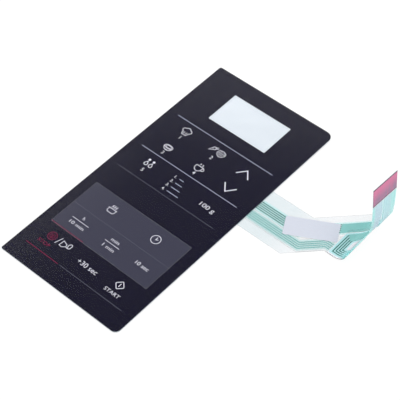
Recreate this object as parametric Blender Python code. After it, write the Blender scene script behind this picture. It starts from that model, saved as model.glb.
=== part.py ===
"""A membrane key panel: printed face, key-matrix films and a folded, curled circuit tail.

The panel lies face up. Its layers are flat sheets stacked from the release liner at the
bottom to the clear face film at the top. Both circuit films run on past the panel's right
edge as a tail. The upper film is creased and folded back over itself, and then the two
strips lie side by side, stand up in one curl and end on a shared stiffener.

Outlines are drawn flat, in metres from the panel's lower left corner, with +Y towards the
display window. Each sheet is extruded, then creased and curled as the real film is.
"""

import math

import bmesh
import bpy
from mathutils import Matrix, Vector
from mathutils.geometry import delaunay_2d_cdt, intersect_line_line_2d

# Panel outline
PANEL_WIDTH = 0.1000
PANEL_LENGTH = 0.2094
RADIUS_TOP_RIGHT = 0.0052
RADIUS_BOTTOM_RIGHT = 0.0040
RADIUS_TOP_LEFT = 0.0015
RADIUS_BOTTOM_LEFT = 0.0010
INNER_INSET = 0.0006
CORNER_STEPS = 6

# Sheet thicknesses, from the bottom up, and the glue line left between sheets
LINER_THICKNESS = 0.00010
REAR_ADHESIVE_THICKNESS = 0.00013
CIRCUIT_FILM_THICKNESS = 0.000125
SPACER_THICKNESS = 0.00015
FACE_ADHESIVE_THICKNESS = 0.00010
FACE_FILM_THICKNESS = 0.00020
INK_THICKNESS = 0.000015
SILVER_THICKNESS = 0.000020
GLUE_LINE = 0.000012

# Display window
WINDOW_WIDTH = 0.0490
WINDOW_HEIGHT = 0.0280
WINDOW_FROM_TOP = 0.0139
WINDOW_RADIUS = 0.0006
WINDOW_MARGIN = 0.0015

# Key positions: outer columns from the sides, rows from the top or the bottom edge
COLUMN_FROM_LEFT = 0.0230
COLUMN_FROM_RIGHT = 0.0230
MIDDLE_COLUMN_SHIFT = 0.0005
PAIR_FROM_LEFT = 0.0320
PAIR_FROM_RIGHT = 0.0304
UPPER_ROWS_FROM_TOP = (0.0620, 0.0800, 0.1010)
LOWER_ROWS_FROM_BOTTOM = (0.0668, 0.0472, 0.0266)
PAD_RADIUS = 0.0040
KEY_HOLE_RADIUS = 0.0046
VENT_WIDTH = 0.0016
ROUND_STEPS = 20

# Printed fields and rules of the face
FIELD_LEFT = 0.0082
FIELD_RIGHT_MARGIN = 0.0090
FIELD_BOTTOM = 0.0360
FIELD_TOP = 0.0775
FIELD_RULE_HEIGHT = 0.0565
RULE_WIDTH = 0.0004
UPPER_RULES_FROM_TOP = (0.0532, 0.0889, 0.1117)
RED_RULE_LENGTH = 0.0280
FOOT_RULE_HEIGHT = 0.0142
PRINT_GAP = 0.0001

# Silver tracks inside the panel
TRACK_WIDTH = 0.0008
ROW_BUS_FROM_RIGHT = 0.0072
ROW_BUS_PITCH = 0.0011
COLUMN_BUS_FROM_RIGHT = 0.0121
COLUMN_BUS_PITCH = 0.0013
COLUMN_BUS_FROM_TOP = 0.0556
COLUMN_BUS_HEIGHT = 0.0180
PAIR_TRACK_SHIFT = 0.0056

# Tail, measured from the top edge and the right edge of the panel
TAIL_TOP_FROM_TOP = 0.0632
TAIL_WIDTH = 0.0358
TAIL_REACH_TOP = 0.0335
TAIL_REACH_BOTTOM = 0.0351
UPPER_STRIP_RISE = 0.0071
UPPER_STRIP_WIDTH = 0.0097
LEDGE_RISE = 0.0194
CREASE_REACH = 0.0765
FLAP_TOP_RISE = 0.0401
LOWER_FILM_END_REACH = 0.0645
FLAP_LEFT_REACH = 0.0569
FLAP_TURN_RISE = 0.0421

# Tail end: its near corner, its direction and its two side-by-side strips
END_REACH = 0.0622
END_RISE = 0.0420
END_TURN = math.radians(3.8)
END_LENGTH = 0.0514
END_WIDTH = 0.0240
STRIP_GAP = 0.0004
CONTACT_PITCH = 0.00254
CONTACT_WIDTH = 0.0014
CONTACT_MARGIN = 0.00184
STIFFENER_LENGTH = 0.0146
STIFFENER_THICKNESS = 0.00019
END_STEP_REACH = 0.0790
END_STEP_RUN = 0.0060

# Tracks along the tail
LOWER_BUNDLE_RISE = 0.0217
LOWER_BUNDLE_PITCH = 0.0015
UPPER_BUNDLE_RISE = 0.01205
UPPER_BUNDLE_PITCH = 0.0015
UPPER_BUNDLE_BEND_REACH = 0.0399
UPPER_BUNDLE_TOP_RISE = 0.0245
FLAP_BUNDLE_SHIFT = 0.0045
FAN_START = 0.0105
FAN_END = 0.0200
BAND_MARGIN = 0.0014
BAND_END_MARGIN = 0.0003
BAND_START = 0.0006

# Crease, curl and label
CREASE_INNER_RADIUS = 0.00005
CREASE_FACETS = 6
CURL_START_REACH = 0.0623
CURL_RADIUS = 0.0096
CURL_ANGLE = math.radians(87)
CURL_FACETS = 12
LEAN_ANGLE = math.radians(9.5)
LEAN_FACETS = 4
LABEL_LENGTH = 0.0350
LABEL_WIDTH = 0.0149
LABEL_REACH = 0.0382
LABEL_RISE = 0.0276
LABEL_TURN = math.radians(29)
LABEL_THICKNESS = 0.00006

MERGE = 0.000001
SCORE_SNAP = 0.000005

# Heights of the sheets, each on the one below
REAR_ADHESIVE_Z = LINER_THICKNESS + GLUE_LINE
LOWER_FILM_Z = REAR_ADHESIVE_Z + REAR_ADHESIVE_THICKNESS + GLUE_LINE
ROW_Z = LOWER_FILM_Z + CIRCUIT_FILM_THICKNESS + GLUE_LINE
SPACER_Z = ROW_Z + SILVER_THICKNESS + GLUE_LINE
COLUMN_Z = SPACER_Z + SPACER_THICKNESS + GLUE_LINE
UPPER_FILM_Z = COLUMN_Z + SILVER_THICKNESS + GLUE_LINE
FACE_ADHESIVE_Z = UPPER_FILM_Z + CIRCUIT_FILM_THICKNESS + GLUE_LINE
DARK_INK_Z = FACE_ADHESIVE_Z + FACE_ADHESIVE_THICKNESS + GLUE_LINE
LEGEND_INK_Z = DARK_INK_Z + INK_THICKNESS + GLUE_LINE
FACE_FILM_Z = LEGEND_INK_Z + INK_THICKNESS + GLUE_LINE
LOWER_BAND_Z = SPACER_Z
UPPER_BAND_Z = COLUMN_Z - GLUE_LINE - INK_THICKNESS
LABEL_Z = FACE_ADHESIVE_Z

# Places worked out from the sizes above
TAIL_TOP = PANEL_LENGTH - TAIL_TOP_FROM_TOP
TAIL_BOTTOM = TAIL_TOP - TAIL_WIDTH
CREASE_X = PANEL_WIDTH + CREASE_REACH
CREASE_RADIUS = CREASE_INNER_RADIUS + CIRCUIT_FILM_THICKNESS
CREASE_AXIS_Z = UPPER_FILM_Z + CIRCUIT_FILM_THICKNESS + CREASE_INNER_RADIUS
CREASE_LENGTH = math.pi * CREASE_RADIUS
END_CORNER = Vector((PANEL_WIDTH + END_REACH, TAIL_BOTTOM + END_RISE))
END_ALONG = Vector((math.cos(END_TURN), math.sin(END_TURN)))
END_ACROSS = Vector((-END_ALONG.y, END_ALONG.x))
UPPER_CONTACTS = 4
LOWER_CONTACTS = 5
STRAIGHT_COLUMN = 1
UPPER_END_WIDTH = CONTACT_MARGIN + (UPPER_CONTACTS - 0.5) * CONTACT_PITCH
DIAGONAL = Vector((1, 1)).normalized()


def material(name, colour, roughness, metallic=0.0, alpha=1.0):
    made = bpy.data.materials.new(name)
    made.use_nodes = True
    shader = made.node_tree.nodes["Principled BSDF"]
    shader.inputs["Base Color"].default_value = (*colour, 1.0)
    shader.inputs["Roughness"].default_value = roughness
    shader.inputs["Metallic"].default_value = metallic
    shader.inputs["Alpha"].default_value = alpha
    return made


def arc(centre, radius, start, end, steps):
    """Points of an arc from angle start to angle end."""
    angles = [start + (end - start) * i / steps for i in range(steps + 1)]
    return [(centre[0] + radius * math.cos(a), centre[1] + radius * math.sin(a)) for a in angles]


def rounded_box(left, bottom, right, top, radii, steps=CORNER_STEPS):
    """A box whose corners are rounded by radii, from the lower left one anticlockwise."""
    quarter = math.pi / 2
    corners = [(left, bottom, 1, 1), (right, bottom, -1, 1), (right, top, -1, -1), (left, top, 1, -1)]
    points = []
    for index, ((x, y, inward_x, inward_y), radius) in enumerate(zip(corners, radii)):
        centre = (x + inward_x * radius, y + inward_y * radius)
        start = math.pi + index * quarter
        points += arc(centre, radius, start, start + quarter, steps)
    return points


def box(left, bottom, right, top):
    return [(left, bottom), (right, bottom), (right, top), (left, top)]


def disc(centre, radius):
    return arc(centre, radius, 0, 2 * math.pi * (1 - 1 / ROUND_STEPS), ROUND_STEPS - 1)


def beside(points, offsets):
    """The polyline's points moved to its left by their own offsets, with mitred corners."""
    points = [Vector(p) for p in points]
    normals = []
    for a, b in zip(points, points[1:]):
        along = (b - a).normalized()
        normals.append(Vector((-along.y, along.x)))
    moved = []
    for i, point in enumerate(points):
        before = normals[max(i - 1, 0)]
        after = normals[min(i, len(normals) - 1)]
        mitre = (before + after).normalized()
        moved.append(point + mitre * (offsets[i] / mitre.dot(after)))
    return moved


def ribbon(points, widths):
    """The outline of a track of the given width at each of its points."""
    halves = [width / 2 for width in widths]
    left = beside(points, halves)
    right = beside(points, [-half for half in halves])
    return right + left[::-1]


def track(points, width=TRACK_WIDTH):
    return ribbon(points, [width] * len(points))


def anticlockwise(outline):
    """The outline's points as vectors, turned round if they run clockwise."""
    points = [Vector(point) for point in outline]
    doubled_area = sum(a.cross(b) for a, b in zip(points, points[1:] + points[:1]))
    return points if doubled_area > 0 else points[::-1]


def sheet(name, outlines, z, thickness, finish, cuts=()):
    """One flat sheet: all that any outline covers, less the cuts."""
    points, loops = [], []
    for outline in [*outlines, *cuts]:
        loops.append(list(range(len(points), len(points) + len(outline))))
        points += anticlockwise(outline)
    verts, _, faces, _, _, sources = delaunay_2d_cdt(points, [], loops, 1, MERGE, True)
    solid = len(outlines)
    kept = [f for f, inside in zip(faces, sources) if inside and max(inside) < solid]
    bm = bmesh.new()
    made = {v: bm.verts.new((verts[v][0], verts[v][1], z)) for v in sorted({v for f in kept for v in f})}
    for face in kept:
        bm.faces.new([made[v] for v in face])
    bmesh.ops.remove_doubles(bm, verts=bm.verts[:], dist=MERGE)
    if not cuts:
        one_face(bm)
    extruded = bmesh.ops.extrude_face_region(bm, geom=bm.faces[:])["geom"]
    raised = [item for item in extruded if isinstance(item, bmesh.types.BMVert)]
    bmesh.ops.translate(bm, verts=raised, vec=(0, 0, thickness))
    bmesh.ops.recalc_face_normals(bm, faces=bm.faces[:])
    return Part(name, bm, finish)


def one_face(bm):
    """Puts a single face inside the rim of a flat mesh that has no holes."""
    rim = [edge for edge in bm.edges if edge.is_boundary]
    bmesh.ops.delete(bm, geom=bm.faces[:], context="FACES_ONLY")
    inner = list(set(bm.edges) - set(rim))
    bmesh.ops.delete(bm, geom=inner, context="EDGES")
    bmesh.ops.edgeloop_fill(bm, edges=bm.edges[:])
    bmesh.ops.delete(bm, geom=[vert for vert in bm.verts if not vert.link_faces], context="VERTS")


class Part:
    """A named solid on its way into the scene, with the bends that films are given."""

    def __init__(self, name, bm, finish):
        self.name = name
        self.bm = bm
        self.finish = finish

    def score(self, x):
        """Splits the faces along the line at x, where a bend may start."""
        everything = self.bm.verts[:] + self.bm.edges[:] + self.bm.faces[:]
        bmesh.ops.bisect_plane(
            self.bm, geom=everything, dist=SCORE_SNAP, plane_co=(x, 0, 0), plane_no=(1, 0, 0)
        )

    def bend(self, start, axis_z, radius, angle, facets, carried=lambda point: False):
        """Wraps what lies past start round an axis at height axis_z, in equal flat facets.

        What is carried swings through the whole angle, wherever it lies.
        """
        length = radius * angle / facets
        for i in range(facets + 1):
            self.score(start + i * length)
        for vert in self.bm.verts:
            past = vert.co.x - start
            drop = axis_z - vert.co.z
            if carried(vert.co) or past > facets * length:
                x, z = swung(past - facets * length, drop, angle)
            elif past > 0:
                x, z = wrapped(past / length, drop, angle / facets, facets)
            else:
                continue
            vert.co.x = start + x
            vert.co.z = axis_z + z
        return self

    def fold_back(self):
        """The crease: the flap comes back over the top, and carries the strip's end along."""
        return self.bend(CREASE_X, CREASE_AXIS_Z, CREASE_RADIUS, math.pi, CREASE_FACETS, on_strip_end)

    def step_down(self):
        """Past the crease the upper strip comes down beside the lower one."""
        start = PANEL_WIDTH + END_STEP_REACH
        fall = 2 * CREASE_AXIS_Z - UPPER_FILM_Z - CIRCUIT_FILM_THICKNESS - LOWER_FILM_Z
        self.score(start)
        self.score(start + END_STEP_RUN)
        for vert in self.bm.verts:
            share = (vert.co.x - start) / END_STEP_RUN
            vert.co.z -= fall * min(max(share, 0), 1)
        return self

    def curl(self):
        """The tail's end stands up in a tight curl, then leans over as far as the flat stiffener."""
        start = PANEL_WIDTH + CURL_START_REACH
        wall_start = start + CURL_RADIUS * CURL_ANGLE
        wall_end = on_end(END_LENGTH - STIFFENER_LENGTH, END_WIDTH).x
        lean_radius = (wall_end - wall_start) / LEAN_ANGLE
        self.bend(wall_start, lean_radius, lean_radius, LEAN_ANGLE, LEAN_FACETS)
        return self.bend(start, CURL_RADIUS, CURL_RADIUS, CURL_ANGLE, CURL_FACETS)

    def place(self):
        """Puts the part into the scene, with the panel's centre at the origin."""
        mesh = bpy.data.meshes.new(self.name)
        self.bm.to_mesh(mesh)
        self.bm.free()
        mesh.materials.append(self.finish)
        made = bpy.data.objects.new(self.name, mesh)
        made.location = (-PANEL_WIDTH / 2, -PANEL_LENGTH / 2, 0)
        bpy.context.scene.collection.objects.link(made)
        return made


def swung(rest, drop, angle):
    """Where a point goes that lies by rest past a bend and by drop below its axis."""
    return (
        drop * math.sin(angle) + rest * math.cos(angle),
        -drop * math.cos(angle) + rest * math.sin(angle),
    )


def wrapped(facets_in, drop, step, facets):
    """Where a point goes that lies within a bend, so many facets in."""
    facet = min(int(facets_in), facets - 1)
    share = facets_in - facet
    low, high = swung(0, drop, facet * step), swung(0, drop, (facet + 1) * step)
    return [a * (1 - share) + b * share for a, b in zip(low, high)]


def on_strip_end(point):
    """Whether a point of the flat upper film lies past the crease's upper end."""
    return point.x > PANEL_WIDTH and point.y > TAIL_BOTTOM + FLAP_TOP_RISE + SCORE_SNAP


def unfolded(point):
    """A point of the folded strip, put where it lies before the crease is made."""
    return Vector((2 * CREASE_X + CREASE_LENGTH - point[0], point[1]))


def on_end(along, across):
    """A point of the tail's end, from its near corner."""
    return END_CORNER + END_ALONG * along + END_ACROSS * across


def meeting(point, direction, other, other_direction):
    """Where two lines cross."""
    point, other = Vector(point), Vector(other)
    reach = 1.0
    return intersect_line_line_2d(
        point - direction * reach, point + direction * reach,
        other - other_direction * reach, other + other_direction * reach,
    )


def panel_outline(inset=0.0):
    radii = (RADIUS_BOTTOM_LEFT, RADIUS_BOTTOM_RIGHT, RADIUS_TOP_RIGHT, RADIUS_TOP_LEFT)
    return rounded_box(
        inset, inset, PANEL_WIDTH - inset, PANEL_LENGTH - inset,
        [max(radius - inset, GLUE_LINE) for radius in radii],
    )


def window_outline(margin=0.0):
    left = (PANEL_WIDTH - WINDOW_WIDTH) / 2 - margin
    top = PANEL_LENGTH - WINDOW_FROM_TOP + margin
    return rounded_box(
        left, top - WINDOW_HEIGHT - 2 * margin, left + WINDOW_WIDTH + 2 * margin, top,
        [WINDOW_RADIUS + margin] * 4, 3,
    )


def columns():
    """The x of the left, middle and right key columns, then of the wide pair of keys."""
    return (
        COLUMN_FROM_LEFT,
        PANEL_WIDTH / 2 + MIDDLE_COLUMN_SHIFT,
        PANEL_WIDTH - COLUMN_FROM_RIGHT,
        PAIR_FROM_LEFT,
        PANEL_WIDTH - PAIR_FROM_RIGHT,
    )


def rows():
    """The y of the six key rows, from the top down."""
    return [PANEL_LENGTH - d for d in UPPER_ROWS_FROM_TOP] + list(LOWER_ROWS_FROM_BOTTOM)


def key_grid():
    """The key centres, row by row."""
    left, middle, right, pair_left, pair_right = columns()
    layout = [
        (left, middle, right), (left, middle, right), (left, right),
        (pair_left, pair_right), (left, middle, right), (left, middle, right),
    ]
    return [[(x, y) for x in xs] for xs, y in zip(layout, rows())]


def row_keys():
    """The keys that each lower conductor joins: a row each, and the third with the wide pair."""
    first, second, third, pair, *last = key_grid()
    return [[first], [second], [third, pair], *[[row] for row in last]]


def fan_points(contact, offset, route, fold=Vector):
    """A track's centre line: its bundle's route, moved sideways, then out to its contact."""
    line = beside(route, [offset] * len(route))
    across = CONTACT_MARGIN + contact * CONTACT_PITCH
    contact_middle = END_LENGTH - STIFFENER_LENGTH / 2
    return line + [fold(on_end(FAN_END, across)), fold(on_end(contact_middle, across))]


def contact_finger(contact, fold=Vector):
    """The bare contact at a track's end."""
    across = CONTACT_MARGIN + contact * CONTACT_PITCH
    near, far = END_LENGTH - STIFFENER_LENGTH, END_LENGTH - PRINT_GAP
    half = CONTACT_WIDTH / 2
    corners = [(near, across - half), (far, across - half), (far, across + half), (near, across + half)]
    return [fold(on_end(*corner)) for corner in corners]


def lower_route():
    """The middle of the lower bundle: out of the panel, along the diagonal, to the fan."""
    y = TAIL_BOTTOM + LOWER_BUNDLE_RISE
    middle = CONTACT_MARGIN + (UPPER_CONTACTS + (LOWER_CONTACTS - 1) / 2) * CONTACT_PITCH
    fan = on_end(FAN_START, middle)
    corner = meeting((0, y), Vector((1, 0)), fan, DIAGONAL)
    return [(PANEL_WIDTH - ROW_BUS_FROM_RIGHT, y), corner, fan]


def upper_route():
    """The middle of the upper bundle, drawn flat: out, up, to the crease, back and up again."""
    start_y = TAIL_BOTTOM + UPPER_BUNDLE_RISE
    top_y = TAIL_BOTTOM + UPPER_BUNDLE_TOP_RISE
    first = (PANEL_WIDTH + UPPER_BUNDLE_BEND_REACH, start_y)
    second = (first[0] + top_y - start_y, top_y)
    middle = CONTACT_MARGIN + (UPPER_CONTACTS - 1) / 2 * CONTACT_PITCH
    fan = on_end(FAN_START, middle)
    turn_x = PANEL_WIDTH + FLAP_LEFT_REACH + FLAP_BUNDLE_SHIFT
    turn = meeting((turn_x, 0), Vector((0, 1)), fan, DIAGONAL)
    return [
        (PANEL_WIDTH - COLUMN_BUS_FROM_RIGHT, start_y), first, second,
        unfolded((turn_x, top_y)), unfolded(turn), unfolded(fan),
    ]


def lower_diagonal_x(y):
    """The x of the tail's lower diagonal edge at height y."""
    return PANEL_WIDTH + TAIL_REACH_BOTTOM + y - TAIL_BOTTOM


def row_conductor(number, finish):
    """One row of the lower film: its pads, the links between them and its track to the tail."""
    rows_of_keys = row_keys()[number]
    contact = UPPER_CONTACTS + LOWER_CONTACTS - 1 - number
    offset = ((LOWER_CONTACTS - 1) / 2 - number) * LOWER_BUNDLE_PITCH
    line = fan_points(contact, offset, lower_route())
    bus_x = PANEL_WIDTH - ROW_BUS_FROM_RIGHT + max(number - 1, 0) * ROW_BUS_PITCH
    shapes = [contact_finger(contact)]
    for keys in rows_of_keys:
        start = [keys[0], (bus_x, keys[0][1]), (bus_x, line[0].y)]
        rest = line[1:] if keys is rows_of_keys[0] else []
        shapes += [disc(key, PAD_RADIUS) for key in keys]
        shapes.append(track(start + rest))
    return sheet(f"row_conductor_{number + 1}", shapes, ROW_Z, SILVER_THICKNESS, finish)


def column_keys():
    """The keys that each upper conductor joins; the middle one has the wide pair's left key."""
    grid = [key for row in key_grid() for key in row]
    left, middle, right, pair_left, pair_right = columns()
    groups = ((pair_right,), (right,), (middle, pair_left), (left,))
    return [[key for key in grid if key[0] in group] for group in groups]


def column_start(number, keys, exit_y):
    """How a column's track runs from its keys to the tail: over the top, below or straight out."""
    right_x = PANEL_WIDTH - COLUMN_BUS_FROM_RIGHT
    x = keys[0][0]
    if number == STRAIGHT_COLUMN:
        return [(x, exit_y)]
    if number > STRAIGHT_COLUMN:
        lane = number - STRAIGHT_COLUMN - 1
        bus_x = right_x + lane * COLUMN_BUS_PITCH
        bus_y = PANEL_LENGTH - COLUMN_BUS_FROM_TOP + lane * COLUMN_BUS_PITCH
        return [keys[-1], (x, bus_y), (bus_x, bus_y), (bus_x, exit_y)]
    down_x = x - PAIR_TRACK_SHIFT
    return [
        keys[0], (down_x, keys[0][1]), (down_x, COLUMN_BUS_HEIGHT),
        (right_x, COLUMN_BUS_HEIGHT), (right_x, exit_y),
    ]


def column_conductor(number, finish):
    """One column of the upper film, with its track round the keys and along the tail."""
    keys = column_keys()[number]
    contact = UPPER_CONTACTS - 1 - number
    offset = (number - (UPPER_CONTACTS - 1) / 2) * UPPER_BUNDLE_PITCH
    line = fan_points(contact, offset, upper_route(), unfolded)
    shapes = [disc(key, PAD_RADIUS) for key in keys]
    shapes += [track(column_start(number, keys, line[0].y) + line[1:]), contact_finger(contact, unfolded)]
    shapes += [track([key, (keys[0][0], key[1])]) for key in keys if key[0] != keys[0][0]]
    if number == STRAIGHT_COLUMN:
        shapes.append(track([keys[-1], keys[0]]))
    return sheet(f"column_conductor_{number + 1}", shapes, COLUMN_Z, SILVER_THICKNESS, finish)


def lower_film_outline():
    """The lower film's tail: wide out of the panel, then a diagonal, then the far strip."""
    inside = PANEL_WIDTH - 3 * RADIUS_TOP_RIGHT
    ledge = TAIL_BOTTOM + LEDGE_RISE
    end_x = PANEL_WIDTH + LOWER_FILM_END_REACH
    seam = on_end(0, UPPER_END_WIDTH + STRIP_GAP / 2)
    slope_start = Vector((PANEL_WIDTH + TAIL_REACH_TOP, TAIL_TOP))
    return [
        (inside, TAIL_BOTTOM),
        (PANEL_WIDTH + TAIL_REACH_BOTTOM, TAIL_BOTTOM),
        (lower_diagonal_x(ledge), ledge),
        (end_x, ledge),
        meeting((end_x, 0), Vector((0, 1)), seam, END_ALONG),
        on_end(END_LENGTH, UPPER_END_WIDTH + STRIP_GAP / 2),
        on_end(END_LENGTH, END_WIDTH),
        meeting(slope_start, DIAGONAL, on_end(0, END_WIDTH), END_ALONG),
        slope_start,
        (inside, TAIL_TOP),
    ]


def upper_film_outline():
    """The upper film's tail, drawn flat: strip to the crease, and past it the folded flap."""
    inside = PANEL_WIDTH - 3 * RADIUS_TOP_RIGHT
    bottom = TAIL_BOTTOM + UPPER_STRIP_RISE
    top = bottom + UPPER_STRIP_WIDTH
    ledge = TAIL_BOTTOM + LEDGE_RISE
    flap_top = TAIL_BOTTOM + FLAP_TOP_RISE
    rise_x = lower_diagonal_x(top) - UPPER_STRIP_WIDTH / math.sin(math.pi / 4)
    flap_left = PANEL_WIDTH + FLAP_LEFT_REACH
    turn_y = TAIL_BOTTOM + FLAP_TURN_RISE
    seam = on_end(0, UPPER_END_WIDTH - STRIP_GAP / 2)
    return [
        (inside, bottom),
        (lower_diagonal_x(bottom), bottom),
        (lower_diagonal_x(ledge), ledge),
        (CREASE_X, ledge),
        unfolded((flap_left, ledge)),
        unfolded((flap_left, turn_y)),
        unfolded(meeting((flap_left, turn_y), DIAGONAL, seam, END_ALONG)),
        unfolded(on_end(END_LENGTH, UPPER_END_WIDTH - STRIP_GAP / 2)),
        unfolded(on_end(END_LENGTH, 0)),
        unfolded(meeting((CREASE_X, 0), Vector((0, 1)), END_CORNER, END_ALONG)),
        (CREASE_X + CREASE_LENGTH, flap_top),
        (CREASE_X, flap_top),
        (rise_x + flap_top - top, flap_top),
        (rise_x, top),
        (inside, top),
    ]


def band(route, pitch, first, count, fold=Vector):
    """The printed insulation over a bundle, widening with it towards the contacts."""
    middle = CONTACT_MARGIN + (first + (count - 1) / 2) * CONTACT_PITCH
    narrow = (count - 1) * pitch + TRACK_WIDTH + 2 * BAND_MARGIN
    wide = (count - 1) * CONTACT_PITCH + CONTACT_WIDTH + 2 * BAND_END_MARGIN
    start = Vector((PANEL_WIDTH + BAND_START, route[0][1]))
    points = [start, *route[1:], fold(on_end(FAN_END, middle))]
    points.append(fold(on_end(END_LENGTH - STIFFENER_LENGTH, middle)))
    widths = [narrow] * (len(points) - 2) + [wide, wide]
    return ribbon(points, widths)


def panel_sheets(paint):
    """The flat layers that stop at the panel's edge."""
    outline, inner = panel_outline(), panel_outline(INNER_INSET)
    window, opening = window_outline(), window_outline(WINDOW_MARGIN)
    holes = [disc(key, KEY_HOLE_RADIUS) for row in key_grid() for key in row]
    vents = [track([row[0], row[-1]], VENT_WIDTH) for row in key_grid()]
    return [
        sheet("release_liner", [outline], 0, LINER_THICKNESS, paint["liner"]),
        sheet("rear_adhesive", [inner], REAR_ADHESIVE_Z, REAR_ADHESIVE_THICKNESS, paint["glue"], [opening]),
        sheet("spacer", [inner], SPACER_Z, SPACER_THICKNESS, paint["spacer"], [opening, *holes, *vents]),
        sheet("face_adhesive", [inner], FACE_ADHESIVE_Z, FACE_ADHESIVE_THICKNESS, paint["glue"], [opening]),
        sheet("face_film", [outline], FACE_FILM_Z, FACE_FILM_THICKNESS, paint["face_film"]),
        sheet(
            "dark_ink", [outline], DARK_INK_Z, INK_THICKNESS, paint["dark"],
            [window, field_outline(PRINT_GAP)],
        ),
        sheet("key_field_ink", [field_outline()], DARK_INK_Z, INK_THICKNESS, paint["field"]),
    ]


def field_outline(margin=0.0):
    right = PANEL_WIDTH - FIELD_RIGHT_MARGIN
    return box(FIELD_LEFT - margin, FIELD_BOTTOM - margin, right + margin, FIELD_TOP + margin)


def rules(paint):
    """The thin printed lines that part the groups of keys."""
    left, right = FIELD_LEFT, PANEL_WIDTH - FIELD_RIGHT_MARGIN
    red_end = left + RED_RULE_LENGTH
    lines = [
        (f"rule_{i + 1}", PANEL_LENGTH - from_top, left, right, "rule")
        for i, from_top in enumerate(UPPER_RULES_FROM_TOP)
    ]
    lines += [
        ("field_rule", FIELD_RULE_HEIGHT, left, right, "faint_rule"),
        ("red_rule_top", FIELD_BOTTOM + RULE_WIDTH, left, red_end, "red"),
        ("red_rule_foot", FOOT_RULE_HEIGHT, left, red_end, "red"),
        ("rule_foot", FOOT_RULE_HEIGHT, red_end + 4 * RULE_WIDTH, right, "faint_rule"),
    ]
    half = RULE_WIDTH / 2
    return [
        sheet(name, [box(x0, y - half, x1, y + half)], LEGEND_INK_Z, INK_THICKNESS, paint[key])
        for name, y, x0, x1, key in lines
    ]


def lower_circuit(paint):
    """The lower film, its rows and its insulation, curled at the tail's end."""
    inner = panel_outline(INNER_INSET)
    parts = [
        sheet(
            "lower_circuit_film", [inner, lower_film_outline()],
            LOWER_FILM_Z, CIRCUIT_FILM_THICKNESS, paint["film"],
        ),
        sheet(
            "lower_insulation", [band(lower_route(), LOWER_BUNDLE_PITCH, UPPER_CONTACTS, LOWER_CONTACTS)],
            LOWER_BAND_Z, INK_THICKNESS, paint["mint"],
        ),
        stiffener(paint["pink"]),
    ]
    parts += [row_conductor(number, paint["silver"]) for number in range(LOWER_CONTACTS)]
    return [part.curl() for part in parts]


def upper_circuit(paint):
    """The upper film, its columns and its insulation, folded over, stepped down and curled."""
    inner = panel_outline(INNER_INSET)
    parts = [
        sheet(
            "upper_circuit_film", [inner, upper_film_outline()],
            UPPER_FILM_Z, CIRCUIT_FILM_THICKNESS, paint["film"],
        ),
        sheet(
            "upper_insulation", [band(upper_route(), UPPER_BUNDLE_PITCH, 0, UPPER_CONTACTS, unfolded)],
            UPPER_BAND_Z, INK_THICKNESS, paint["mint"],
        ),
    ]
    parts += [column_conductor(number, paint["silver"]) for number in range(UPPER_CONTACTS)]
    return [part.fold_back().step_down().curl() for part in parts]


def stiffener(finish):
    """The plate under the tail's end, which holds both strips side by side."""
    near, far = END_LENGTH - STIFFENER_LENGTH, END_LENGTH
    outline = [on_end(near, 0), on_end(far, 0), on_end(far, END_WIDTH), on_end(near, END_WIDTH)]
    z = LOWER_FILM_Z - GLUE_LINE - STIFFENER_THICKNESS
    return sheet("tail_stiffener", [outline], z, STIFFENER_THICKNESS, finish)


def label(finish):
    """The blank label across the tail, over both films."""
    centre = Vector((PANEL_WIDTH + LABEL_REACH, TAIL_BOTTOM + LABEL_RISE))
    outline = rounded_box(
        -LABEL_LENGTH / 2, -LABEL_WIDTH / 2, LABEL_LENGTH / 2, LABEL_WIDTH / 2, [LABEL_WIDTH / 20] * 4, 2
    )
    turn = Matrix.Rotation(LABEL_TURN, 2)
    placed = [centre + turn @ Vector(point) for point in outline]
    return sheet("tail_label", [placed], LABEL_Z, LABEL_THICKNESS, finish)


def paints():
    return {
        "liner": material("liner_paper", (0.80, 0.85, 0.90), 0.5),
        "glue": material("clear_adhesive", (0.85, 0.87, 0.90), 0.4, alpha=0.6),
        "film": material("circuit_film", (0.78, 0.79, 0.88), 0.35, alpha=0.6),
        "spacer": material("spacer_film", (0.75, 0.78, 0.82), 0.5, alpha=0.7),
        "face_film": material("face_film_clear", (0.10, 0.11, 0.14), 0.55, alpha=0.3),
        "dark": material("dark_ink", (0.012, 0.014, 0.024), 0.6),
        "field": material("grey_ink", (0.060, 0.060, 0.085), 0.6),
        "rule": material("pale_blue_ink", (0.33, 0.38, 0.55), 0.5),
        "faint_rule": material("grey_blue_ink", (0.12, 0.13, 0.18), 0.5),
        "red": material("red_ink", (0.30, 0.012, 0.045), 0.5),
        "silver": material("silver_track", (0.10, 0.28, 0.24), 0.4, 0.3),
        "mint": material("mint_insulation", (0.45, 0.85, 0.75), 0.45, alpha=0.7),
        "pink": material("pink_stiffener", (0.75, 0.16, 0.35), 0.4, alpha=0.85),
        "label": material("blank_label", (0.74, 0.77, 0.86), 0.5),
    }


def main():
    for old in list(bpy.data.objects):
        bpy.data.objects.remove(old, do_unlink=True)
    paint = paints()
    parts = panel_sheets(paint) + rules(paint) + lower_circuit(paint) + upper_circuit(paint)
    for part in [*parts, label(paint["label"])]:
        part.place()


main()
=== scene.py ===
# %% [markdown]
# # A membrane key panel with a curled film tail
#
# The object is the flat key panel of an oven: a dark printed face with a display window, thin
# films under it, and a clear circuit tail that is creased, folded over and curled at its end.
# The solid layers come from the CAD frame. This script gives every layer its finish, prints the
# pictograms and numbers, and sets up the camera, the floor and the light.
#
# Loading the frame comes first, because every later size is read from it.

# %% Load the frame
import math

import bmesh
import bpy
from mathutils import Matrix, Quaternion, Vector
from mathutils.bvhtree import BVHTree


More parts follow.
